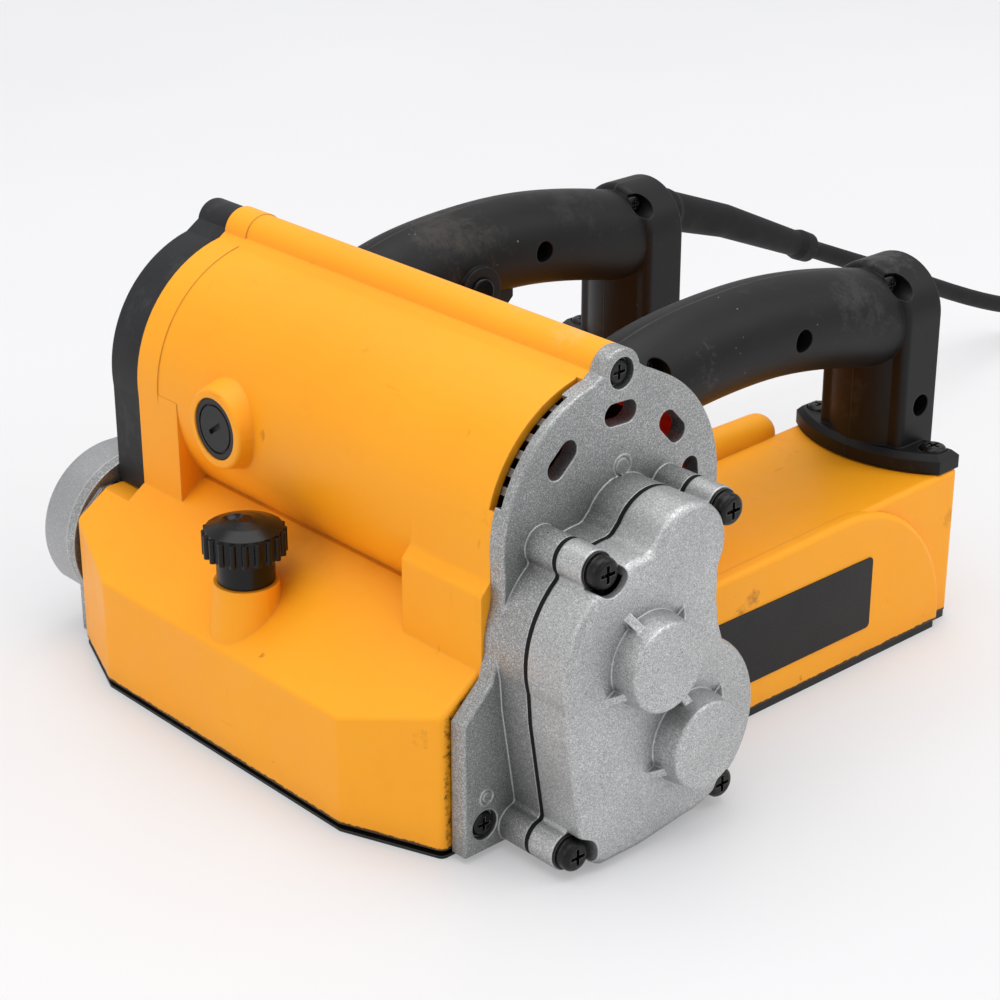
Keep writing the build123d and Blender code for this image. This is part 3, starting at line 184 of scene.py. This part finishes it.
# ------------------------------------------------------------------ materials
# Marks of use: place and radius in millimetres, strength, sRGB tone.
ORANGE_STAINS = (
    ((103, 69, 46), 3.6, 0.6, (112, 66, 26)),
    ((103, 63, 43), 3.0, 0.5, (128, 78, 26)),
    ((92, -68, 42), 4.5, 0.45, (120, 74, 18)),
    ((64, -76, 38), 1.6, 0.7, (84, 46, 16)),
    ((21, -78, 45), 1.2, 0.8, (70, 40, 16)),
    ((14, -79, 46), 0.8, 0.8, (70, 40, 16)),
    ((102, 180, 41), 5.0, 0.4, (120, 76, 24)),
    ((62, 3, 152), 7.0, 0.22, (214, 184, 142)),
    ((86, -1, 155), 8.0, 0.25, (214, 186, 150)),
    ((58, 8, 146), 2.0, 0.6, (86, 54, 24)),
    ((20, -30, 138), 1.6, 0.5, (150, 84, 20)),
    ((-92, -66, 14), 6.0, 0.4, (150, 92, 30)),
)
HANDLE_STAINS = (
    ((78, 144, 130), 12, 0.3, (78, 77, 75)),
    ((-55, 72, 140), 18, 0.35, (80, 74, 69)),
    ((-61, 133, 136), 14, 0.2, (78, 75, 72)),
    ((65, 176, 133), 9, 0.3, (100, 98, 95)),
    ((75, 64, 124), 8, 0.3, (96, 92, 88)),
)
HANDLE_SPLIT_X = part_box("near_handle_left")[1][0]
GASKET_FACES = [corner[0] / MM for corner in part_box("gear_gasket")]
CAST_GRAIN = 2900
# The open joint between housing and gear case plate: its X, and the Y and Z where it ends, in millimetres.
PLATE_JOINT_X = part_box("gear_housing")[0][0] / MM + 11
PLATE_JOINT_REAR_Y = -40
PLATE_JOINT_TOP_Z = 58
SOLE_JOINT_Z = 3.0


def scratches(look, along, scale=90.0, low=0.735, high=0.775):
    """Sparse thin lines: a strongly stretched noise cut near its top."""
    lines = look.noise(scale, 2.0, 0.6, look.stretch(*along), 0.3)
    return look.ramp(lines, low, high)


def orange_plastic():
    look = Look("orange_plastic")
    normal, edge = look.edges(0.8 * MM)
    colour = look.blend(look.ramp(look.noise(9, 4), 0.3, 0.7), rgb(254, 163, 20), rgb(255, 172, 28))
    colour = look.layer(look.ramp(look.noise(60, 5, 0.7), 0.55, 0.85), 0.18, colour, rgb(240, 138, 12))
    # Painted highlight: sharp edges lightened, standing in for the light that rounded edges catch.
    colour = look.layer(edge, 0.3, colour, rgb(255, 188, 92))
    # Painted shade: creases, the underside of the barrel and other tight corners darkened towards brown,
    # broken up by noise.
    painted_crevice_shade = look.math("MULTIPLY", look.crevice(20 * MM), look.ramp(look.noise(45, 4), 0.2, 0.6))
    colour = look.layer(painted_crevice_shade, 0.42, colour, rgb(122, 62, 10))
    smear = look.ramp(look.noise(34, 6, 0.75, look.stretch(1, 1.6, 0.8), 0.6), 0.64, 0.8)
    colour = look.layer(smear, 0.32, colour, rgb(172, 92, 20))
    colour = look.layer(look.speckle(260, 0.075, 0.66), 0.8, colour, rgb(74, 40, 14))
    marks = look.math("ADD", scratches(look, (0.15, 1, 2.4)), scratches(look, (1.6, 0.2, 0.6)))
    colour = look.layer(marks, 0.45, colour, rgb(182, 98, 20))
    for place, radius, strength, tone in ORANGE_STAINS:
        colour = look.layer(look.spot(place, radius), strength, colour, rgb(*tone))
    front = look.ramp(look.axis("Y"), PLATE_JOINT_REAR_Y * MM, (PLATE_JOINT_REAR_Y - 2) * MM)
    joint = look.math("MULTIPLY", front, look.below(PLATE_JOINT_TOP_Z))
    joint = look.math("MULTIPLY", look.seam("X", PLATE_JOINT_X, 1.1, 0.8), joint)
    colour = look.layer(joint, 0.95, colour, rgb(38, 27, 14))
    colour = look.layer(look.seam("Z", SOLE_JOINT_Z, 1.1, 0.9), 0.95, colour, rgb(30, 24, 16))
    height = look.math("ADD", look.math("MULTIPLY", look.noise(1500, 2, 0.6), 0.25), look.noise(30, 3))
    height = look.math("SUBTRACT", height, look.math("MULTIPLY", marks, 0.5))
    rough = look.ramp(look.noise(70, 4), 0.3, 0.7, 0.4, 0.54)
    rough = look.math("ADD", rough, look.math("MULTIPLY", marks, 0.15))
    return look.finish(Base_Color=colour, Roughness=rough, Normal=look.bump(height, 0.1 * MM, 0.35, normal),
                       Subsurface_Weight=0.05, Subsurface_Radius=(0.012, 0.004, 0.001),
                       Specular_IOR_Level=0.3)


def cast_aluminium(name, low, high, grain_share):
    """Blasted casting: fine bright grain, pores, painted shade in the corners and painted highlights on the
    edges.
    """
    look = Look(name)
    normal, edge = look.edges(0.9 * MM)
    grain = look.noise(CAST_GRAIN, 1, 0.6)
    sparkle = look.sparks(CAST_GRAIN)
    colour = look.blend(look.ramp(grain, 0.34, 0.68), low, high)
    colour = look.layer(look.ramp(sparkle, 0.72, 0.95), 0.42 * grain_share, colour, rgb(250, 250, 250))
    colour = look.layer(look.ramp(sparkle, 0.26, 0.05), 0.35 * grain_share, colour, rgb(90, 90, 91))
    colour = look.layer(look.ramp(look.noise(26, 4, 0.6), 0.4, 0.75), 0.3, colour, rgb(120, 121, 121))
    # Painted shade: corners, boss bases and rib roots darkened where less light reaches.
    colour = look.layer(look.crevice(18 * MM), 0.6, colour, rgb(78, 79, 79))
    # Painted highlight: sharp edges lightened towards white, standing in for light caught by rounded edges.
    colour = look.layer(edge, 0.5, colour, rgb(240, 240, 240))
    colour = look.layer(look.speckle(170, 0.09, 0.6), 0.7, colour, rgb(60, 58, 56))
    for level in GASKET_FACES:
        colour = look.layer(look.seam("X", level, 0.15, 0.9), 0.8, colour, rgb(24, 23, 22))
    pores = look.math("MULTIPLY", look.noise(620, 3, 0.7), 0.9)
    height = look.math("ADD", look.math("MULTIPLY", grain, 0.8), pores)
    rough = look.ramp(sparkle, 0.0, 1.0, 0.52, 0.4)
    return look.finish(Base_Color=colour, Metallic=0.75, Roughness=rough,
                       Normal=look.bump(height, 0.14 * MM, 0.35 + 0.25 * grain_share, normal))


def handle_plastic():
    """Textured black grip plastic with a moulding line on the split, dust and rubbed spots."""
    look = Look("handle_plastic")
    normal, edge = look.edges(0.7 * MM)
    cloud = look.noise(22, 5, 0.65)
    colour = look.blend(look.ramp(cloud, 0.35, 0.7), rgb(11, 11, 12), rgb(22, 22, 23))
    dust = look.ramp(look.noise(48, 6, 0.75, None, 0.5), 0.58, 0.8)
    colour = look.layer(dust, 0.3, colour, rgb(88, 86, 83))
    colour = look.layer(edge, 0.25, colour, rgb(76, 76, 75))
    colour = look.layer(scratches(look, (0.6, 0.25, 1.4), 120), 0.35, colour, rgb(104, 102, 98))
    colour = look.layer(look.speckle(230, 0.1, 0.58), 0.6, colour, rgb(168, 162, 152))
    for place, radius, strength, tone in HANDLE_STAINS:
        colour = look.layer(look.spot(place, radius, 0.9), strength, colour, rgb(*tone))
    side = look.math("ABSOLUTE", look.axis("X"))
    split = look.math("ABSOLUTE", look.math("SUBTRACT", side, HANDLE_SPLIT_X))
    line = look.ramp(look.noise(90, 3), 0.3, 0.6)
    line = look.math("MULTIPLY", look.ramp(split, 0.5 * MM, 0.2 * MM), line)
    line = look.math("MULTIPLY", line, look.ramp(look.axis("Z"), 108 * MM, 116 * MM))
    colour = look.layer(line, 0.7, colour, rgb(70, 69, 67))
    height = look.math("ADD", look.math("MULTIPLY", look.noise(1900, 2, 0.7), 0.5), look.noise(60, 3))
    height = look.math("ADD", height, look.math("MULTIPLY", line, 3.0))
    rough = look.ramp(cloud, 0.3, 0.7, 0.42, 0.56)
    return look.finish(Base_Color=colour, Roughness=rough, Normal=look.bump(height, 0.08 * MM, 0.5, normal),
                       Specular_IOR_Level=0.26)


def scuffed_cap():
    look = Look("scuffed_cap")
    normal, edge = look.edges(0.8 * MM)
    cloud = look.noise(30, 5, 0.7, None, 0.4)
    colour = look.blend(look.ramp(cloud, 0.3, 0.72), rgb(17, 17, 19), rgb(42, 43, 45))
    rub = look.ramp(look.noise(110, 6, 0.8, look.stretch(1, 0.6, 0.6)), 0.52, 0.8)
    colour = look.layer(rub, 0.38, colour, rgb(92, 92, 93))
    colour = look.layer(edge, 0.35, colour, rgb(92, 92, 91))
    height = look.math("ADD", look.math("MULTIPLY", look.noise(1300, 3, 0.7), 0.5), look.noise(80, 3))
    rough = look.ramp(cloud, 0.3, 0.7, 0.48, 0.62)
    return look.finish(Base_Color=colour, Roughness=rough, Specular_IOR_Level=0.3,
                       Normal=look.bump(height, 0.1 * MM, 0.6, normal))


def black_moulding(name, low, high, rough_low, rough_high, grain_depth=0.3):
    """Plain dark moulded plastic or rubber with fine grain and faint dust."""
    look = Look(name)
    normal, edge = look.edges(0.4 * MM)
    cloud = look.noise(70, 4, 0.65)
    colour = look.blend(look.ramp(cloud, 0.35, 0.7), low, high)
    colour = look.layer(look.ramp(look.noise(150, 5, 0.7), 0.62, 0.8), 0.2, colour, rgb(96, 93, 88))
    colour = look.layer(edge, 0.2, colour, rgb(76, 76, 75))
    rough = look.ramp(cloud, 0.3, 0.7, rough_low, rough_high)
    return look.finish(Base_Color=colour, Roughness=rough, Specular_IOR_Level=0.27,
                       Normal=look.bump(look.noise(1700, 2), 0.06 * MM, grain_depth, normal))


def metal(name, low, high, rough_low, rough_high, wear, lathe=True, metallic=1.0):
    """Machined or coated metal: fine turning lines round X, worn edges and light staining."""
    look = Look(name)
    normal, edge = look.edges(0.35 * MM)
    stain = look.noise(120, 5, 0.7)
    colour = look.blend(look.ramp(stain, 0.35, 0.7), low, high)
    colour = look.blend(look.math("MULTIPLY", edge, 0.7), colour, wear)
    lines = look.noise(60, 2, 0.6, look.stretch(60, 1.5, 1.5) if lathe else look.stretch(8, 8, 8))
    rough = look.ramp(lines, 0.3, 0.7, rough_low, rough_high)
    return look.finish(Base_Color=colour, Metallic=metallic, Roughness=rough,
                       Normal=look.bump(lines, 0.03 * MM, 0.5, normal))


def laminations():
    look = Look("laminations")
    sheets = look.node("ShaderNodeTexWave", {"Vector": look.place, "Scale": 320.0, "Distortion": 0.2},
                       bands_direction="X").outputs["Fac"]
    colour = look.blend(look.ramp(sheets, 0.2, 0.8), rgb(60, 58, 60), rgb(128, 122, 118))
    colour = look.blend(look.ramp(look.noise(90, 4), 0.5, 0.75, 0, 0.5), colour, rgb(110, 60, 34))
    return look.finish(Base_Color=colour, Metallic=0.7, Roughness=look.ramp(sheets, 0, 1, 0.35, 0.6),
                       Normal=look.bump(sheets, 0.1 * MM, 0.6))


def wound_copper():
    look = Look("wound_copper")
    wires = look.node("ShaderNodeTexWave", {"Vector": look.place, "Scale": 420.0, "Distortion": 3.0,
                                            "Detail": 2.0, "Detail Scale": 2.0}).outputs["Fac"]
    colour = look.blend(look.ramp(wires, 0.2, 0.8), rgb(92, 38, 18), rgb(206, 118, 62))
    return look.finish(Base_Color=colour, Metallic=0.8, Roughness=0.34, Coat_Weight=0.5,
                       Normal=look.bump(wires, 0.25 * MM, 0.8))


def red_insulation():
    look = Look("red_insulation")
    fibres = look.noise(300, 4, 0.7, look.stretch(0.3, 1, 1))
    colour = look.blend(look.ramp(fibres, 0.3, 0.7), rgb(196, 18, 8), rgb(248, 52, 20))
    colour = look.layer(look.ramp(look.noise(70, 4), 0.6, 0.85), 0.3, colour, rgb(90, 22, 12))
    rough = look.ramp(fibres, 0, 1, 0.35, 0.55)
    # Painted glow: the emission makes the insulation shine faintly, though it is no lamp.
    return look.finish(Base_Color=colour, Emission_Color=colour, Emission_Strength=0.12, Roughness=rough,
                       Normal=look.bump(fibres, 0.1 * MM, 0.5))


def label_film():
    look = Look("label_film")
    normal, edge = look.edges(0.3 * MM)
    weave = look.noise(1400, 2, 0.5)
    colour = look.blend(look.ramp(look.noise(26, 4), 0.35, 0.7), rgb(25, 24, 24), rgb(34, 32, 32))
    colour = look.layer(scratches(look, (1, 0.15, 1.2), 80), 0.6, colour, rgb(74, 70, 66))
    colour = look.layer(edge, 0.4, colour, rgb(82, 79, 76))
    rough = look.ramp(weave, 0.3, 0.7, 0.42, 0.55)
    return look.finish(Base_Color=colour, Specular_IOR_Level=0.28, Roughness=rough,
                       Normal=look.bump(weave, 0.04 * MM, 0.35, normal))


def painted_sole():
    look = Look("painted_sole")
    normal, edge = look.edges(0.3 * MM)
    drag = look.noise(120, 4, 0.7, look.stretch(2.5, 0.12, 1), 0.1)
    colour = look.blend(look.ramp(look.noise(40, 4), 0.35, 0.7), rgb(24, 24, 25), rgb(38, 38, 38))
    colour = look.blend(look.ramp(drag, 0.62, 0.72, 0, 0.6), colour, rgb(120, 120, 120))
    colour = look.blend(look.math("MULTIPLY", edge, 0.5), colour, rgb(116, 112, 106))
    return look.finish(Base_Color=colour, Metallic=0.35, Roughness=look.ramp(drag, 0.3, 0.7, 0.38, 0.55),
                       Normal=look.bump(drag, 0.05 * MM, 0.4, normal))


def studio_floor():
    look = Look("studio_floor")
    tone = look.noise(3, 3)
    colour = look.blend(look.ramp(tone, 0.3, 0.7), (0.52, 0.52, 0.525, 1), (0.54, 0.54, 0.545, 1))
    return look.finish(Base_Color=colour, Roughness=0.6, Specular_IOR_Level=0.2,
                       Emission_Color=(0.985, 0.985, 1.0, 1), Emission_Strength=0.27)


# ------------------------------------------------------------------ assignment
def dress(material, *names):
    for name in names:
        obj = NODES[name]
        obj.data.materials.clear()
        obj.data.materials.append(material)


def dress_all():
    steel = metal("turned_steel", rgb(150, 150, 150), rgb(190, 190, 188), 0.2, 0.4, rgb(225, 225, 222))
    black_metal = metal("black_oxide", rgb(20, 20, 20), rgb(34, 33, 32), 0.24, 0.4, rgb(110, 108, 104),
                        lathe=False, metallic=0.55)
    dress(orange_plastic(), "main_housing")
    # Lit and shaded copies of one casting: the gear housing and side plate take a darker copy as painted
    # shade, the gear cover a lighter copy as painted light.
    dress(cast_aluminium("shaded_casting", rgb(138, 139, 138), rgb(180, 181, 181), 1.0),
          "gear_housing", "left_side_plate")
    dress(cast_aluminium("lit_casting", rgb(166, 167, 167), rgb(206, 207, 207), 1.0), "gear_cover")
    dress(cast_aluminium("smooth_casting", rgb(158, 159, 160), rgb(186, 187, 188), 0.3), "left_side_cover")
    dress(handle_plastic(), "near_handle_left", "near_handle_right", "far_handle_left", "far_handle_right")
    dress(scuffed_cap(), "end_cap")
    dress(black_moulding("knob_plastic", rgb(6, 6, 7), rgb(11, 11, 12), 0.18, 0.3, 0.15), "depth_knob",
          "lock_button")
    dress(black_moulding("brush_cap_plastic", rgb(26, 26, 28), rgb(40, 40, 42), 0.38, 0.52), "brush_caps")
    dress(black_moulding("fan_plastic", rgb(40, 26, 20), rgb(62, 42, 32), 0.35, 0.5), "cooling_fan")
    dress(black_moulding("soft_black", rgb(20, 20, 21), rgb(32, 32, 32), 0.45, 0.6),
          "trigger", "switch_module", "cable_clamp", "dust_port")
    dress(black_moulding("cable_rubber", rgb(6, 6, 7), rgb(12, 12, 13), 0.55, 0.7), "cable", "cable_boot")
    dress(black_moulding("gasket_paper", rgb(5, 5, 5), rgb(12, 11, 10), 0.7, 0.85), "gear_gasket")
    dress(black_moulding("graphite", rgb(30, 30, 32), rgb(46, 46, 48), 0.3, 0.45), "carbon_brushes")
    dress(black_metal, "gear_case_screws", "side_plate_screws", "ear_screws", "left_cover_screws",
          "rear_shoe_screws", "handle_screws", "foot_bolts", "dust_port_screws")
    dress(steel, "lifting_stud", "shoe_springs", "knob_clip", "spindle", "cutter_spacers", "cutter_nut",
          "spindle_nut", "output_gear", "intermediate_shaft", "intermediate_gear", "intermediate_pinion",
          "motor_pinion", "spindle_bearings", "intermediate_bearings", "motor_bearings", "armature_shaft",
          "trigger_pin", "trigger_spring", "brush_springs")
    dress(metal("cutter_steel", rgb(86, 86, 90), rgb(122, 122, 126), 0.3, 0.5, rgb(190, 190, 194)),
          "cutter_discs")
    dress(metal("brass", rgb(170, 120, 52), rgb(206, 158, 84), 0.25, 0.42, rgb(236, 204, 140)),
          "brush_holders", "commutator")
    dress(laminations(), "armature_core", "stator_core")
    dress(wound_copper(), "armature_windings")
    dress(red_insulation(), "field_coils", "air_baffle")
    dress(label_film(), "label_panel")
    dress(painted_sole(), "rear_shoe", "front_shoe")


# ------------------------------------------------------------------ stage
def make_floor():
    mesh = bpy.data.meshes.new("floor")
    grid = bmesh.new()
    bmesh.ops.create_grid(grid, x_segments=2, y_segments=2, size=FLOOR_HALF)
    grid.to_mesh(mesh)
    grid.free()
    floor = bpy.data.objects.new("floor", mesh)
    bpy.context.scene.collection.objects.link(floor)
    mesh.materials.append(studio_floor())


def area_light(name, place, aim, size, power, colour=(1, 1, 1)):
    data = bpy.data.lights.new(name, "AREA")
    data.shape = "RECTANGLE"
    data.size, data.size_y = size
    data.energy = power
    data.color = colour
    lamp = bpy.data.objects.new(name, data)
    lamp.location = place
    lamp.rotation_euler = (Vector(aim) - Vector(place)).to_track_quat("-Z", "Y").to_euler()
    bpy.context.scene.collection.objects.link(lamp)


def make_studio():
    scene = bpy.context.scene
    world = bpy.data.worlds.new("studio")
    world.use_nodes = True
    background = world.node_tree.nodes["Background"]
    background.inputs[0].default_value = (0.985, 0.985, 1.0, 1)
    background.inputs[1].default_value = 0.62
    scene.world = world
    area_light("top_softbox", (-0.2, 0.1, 2.3), LIGHT_TARGET, (2.4, 2.4), 37.0)
    area_light("front_softbox", (-0.3, -1.6, 0.9), LIGHT_TARGET, (1.0, 0.8), 4.2, (1.0, 0.985, 0.96))
    area_light("side_softbox", (1.6, 0.2, 0.8), LIGHT_TARGET, (0.9, 0.7), 2.2, (0.97, 0.98, 1.0))
    area_light("rear_softbox", (0.9, 1.0, 1.2), LIGHT_TARGET, (0.9, 0.9), 5.0)
    scene.view_settings.view_transform = "Standard"


def make_camera():
    data = bpy.data.cameras.new("camera")
    data.sensor_width = 36.0
    data.lens = CAMERA_LENS
    data.shift_y = -0.0025
    data.clip_start = 0.05
    camera = bpy.data.objects.new("camera", data)
    camera.location = CAMERA_PLACE
    level = math.cos(CAMERA_ELEVATION)
    forward = Vector((-math.sin(CAMERA_AZIMUTH) * level, math.cos(CAMERA_AZIMUTH) * level,
                      -math.sin(CAMERA_ELEVATION)))
    camera.rotation_euler = forward.to_track_quat("-Z", "Y").to_euler()
    bpy.context.scene.collection.objects.link(camera)
    bpy.context.scene.camera = camera


def make_spring(name, body):
    """A copy of the coil, attached to its moving body, with the original part hidden."""
    piece = bpy.data.objects.new(name + "_coil", NODES[name].data.copy())
    bpy.context.scene.collection.objects.link(piece)
    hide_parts(name)
    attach(piece, body)
    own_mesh(piece)


def make_springs():
    make_spring("shoe_springs", "front_shoe")
    make_spring("trigger_spring", "trigger")


dress_all()
make_springs()
make_floor()
make_studio()
make_camera()
